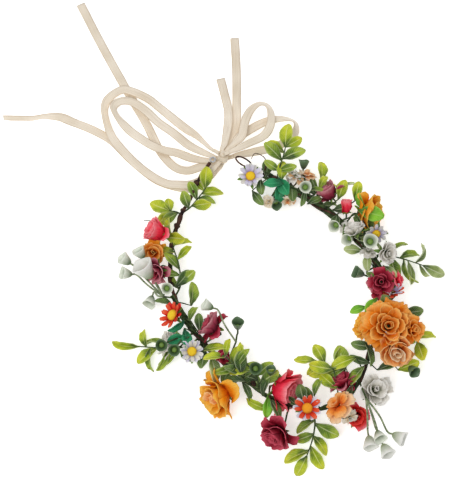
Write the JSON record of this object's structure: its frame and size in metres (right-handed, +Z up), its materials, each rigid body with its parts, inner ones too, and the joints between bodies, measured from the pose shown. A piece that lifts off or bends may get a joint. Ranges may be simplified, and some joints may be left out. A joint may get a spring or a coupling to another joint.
{
  "type": "flower crown",
  "caption": "Open wire-vine head wreath with wired paper roses, daisies, leaf sprigs and seed bells, tied at the back with a satin ribbon bow.",
  "frame": {"origin": "middle of the head opening, on the surface that the crown lies on", "axes": "+Z up through the head opening, +Y towards the ribbon tie at the back of the head, +X to the right-hand side seen from above"},
  "size_m": [0.2568, 0.4089, 0.0388],
  "materials": {
    "vine": "dark brown paper-wrapped wire, rough",
    "wire_green": "green taped stem wire",
    "ribbon": "champagne satin with a soft sheen",
    "eyelet": "satin wire ring",
    "leaf": "matte moulded leaf with a pale vein",
    "calyx": "matte green",
    "bell": "pale green and white plastic",
    "berry": "dark green plastic",
    "stamen": "yellow flock",
    "petal_orange": "crinkled orange paper",
    "petal_peach": "crinkled peach paper",
    "petal_white": "white paper",
    "petal_red": "red paper",
    "petal_burgundy": "burgundy paper",
    "petal_pink": "pink paper",
    "petal_mauve": "mauve paper"
  },
  "bodies": {
    "hoop": {"bells_back": "bell", "berries_left": "berry", "bud_pink_right": "petal_pink", "daisy_blue_right": "petal_white", "daisy_orange_left": "petal_red", "daisy_red_front": "petal_red", "daisy_white_back": "petal_white", "daisy_white_left": "petal_white", "flower_green_back": "petal_white", "flower_peach_front": "petal_peach", "rose_burgundy_inner": "petal_burgundy", "rose_burgundy_right": "petal_burgundy", "rose_mauve_left": "petal_mauve", "rose_mauve_right": "petal_mauve", "rose_mauve_side": "petal_mauve", "rose_orange_big": "petal_orange", "rose_orange_left": "petal_orange", "rose_orange_right": "petal_orange", "rose_orange_side": "petal_orange", "rose_orange_small": "petal_orange", "rose_peach": "petal_peach", "rose_pink_front": "petal_pink", "rose_pink_left": "petal_pink", "rose_pink_right": "petal_pink", "rose_red_front": "petal_red", "rose_white_back": "petal_white", "rose_white_front": "petal_white", "rose_white_left": "petal_white", "rose_white_outer": "petal_white", "rose_white_right": "petal_white", "sprig_centre": "leaf", "sprig_centre_left": "leaf", "sprig_front_inner": "leaf", "sprig_left_inner": "leaf", "sprig_right_back": "leaf", "sprig_right_front": "leaf", "vine_hoop": "vine", "wire_loop_right": "vine"},
    "arm": {"vine_arm": "vine", "eyelet_left": "eyelet", "ribbon_knot": "ribbon", "ribbon_loop_left_inner": "ribbon", "ribbon_loop_left_outer": "ribbon", "ribbon_loop_right_inner": "ribbon", "ribbon_loop_right_outer": "ribbon", "ribbon_tail_lower": "ribbon", "ribbon_tail_short_left": "ribbon", "ribbon_tail_short_right": "ribbon", "ribbon_tail_upper": "ribbon", "sprig_arm_inner": "leaf", "sprig_arm_outer": "leaf"},
    "sprig_front_outer": {"sprig_front_outer": "leaf"},
    "sprig_left_outer": {"sprig_left_outer": "leaf"},
    "sprig_right": {"sprig_right": "leaf"},
    "sprig_back": {"sprig_back": "leaf"},
    "bells_left": {"bells_left": "bell"},
    "bells_front": {"bells_front": "bell"},
    "bells_centre": {"bells_centre": "bell"},
    "bell_inner": {"bell_inner": "bell"},
    "rose_burgundy_hanging": {"rose_burgundy_hanging": "petal_burgundy"}
  },
  "joints": [
    {"name": "arm_bend", "type": "hinge", "parent": "hoop", "child": "arm", "pos_m": [-0.0462, 0.0683, 0.013], "axis": [0, 0, 1], "range_deg": [-5, 8]},
    {"name": "sprig_front_outer_bend", "type": "hinge", "parent": "hoop", "child": "sprig_front_outer", "pos_m": [-0.0121, -0.101, 0.013], "axis": [-0.946, 0.3241, 0], "range_deg": [0, 25]},
    {"name": "sprig_left_outer_bend", "type": "hinge", "parent": "hoop", "child": "sprig_left_outer", "pos_m": [-0.0669, -0.0233, 0.013], "axis": [-0.3418, 0.9398, 0], "range_deg": [0, 25]},
    {"name": "sprig_right_bend", "type": "hinge", "parent": "hoop", "child": "sprig_right", "pos_m": [0.0726, -0.012, 0.013], "axis": [0.1517, -0.9884, 0], "range_deg": [0, 9]},
    {"name": "sprig_back_bend", "type": "hinge", "parent": "hoop", "child": "sprig_back", "pos_m": [0.0312, 0.069, 0.013], "axis": [0.6031, -0.7976, 0], "range_deg": [0, 25]},
    {"name": "bells_left_bend", "type": "hinge", "parent": "hoop", "child": "bells_left", "pos_m": [-0.0725, 0.0122, 0.013], "axis": [0.0575, 0.9983, 0], "range_deg": [-8, 20]},
    {"name": "bells_front_bend", "type": "hinge", "parent": "hoop", "child": "bells_front", "pos_m": [0.0264, -0.0946, 0.013], "axis": [-0.7478, -0.6639, 0], "range_deg": [-2, 20]},
    {"name": "bells_centre_bend", "type": "hinge", "parent": "hoop", "child": "bells_centre", "pos_m": [-0.0559, -0.0477, 0.013], "axis": [0.4696, -0.8829, 0], "range_deg": [-10, 15]},
    {"name": "bell_inner_bend", "type": "hinge", "parent": "hoop", "child": "bell_inner", "pos_m": [0.0735, -0.0198, 0.013], "axis": [-0.0721, 0.9974, 0], "range_deg": [-10, 20]},
    {"name": "rose_burgundy_hanging_bend", "type": "hinge", "parent": "hoop", "child": "rose_burgundy_hanging", "pos_m": [-0.0276, -0.0923, 0.013], "axis": [-0.76, 0.65, 0], "range_deg": [0, 20]}
  ]
}
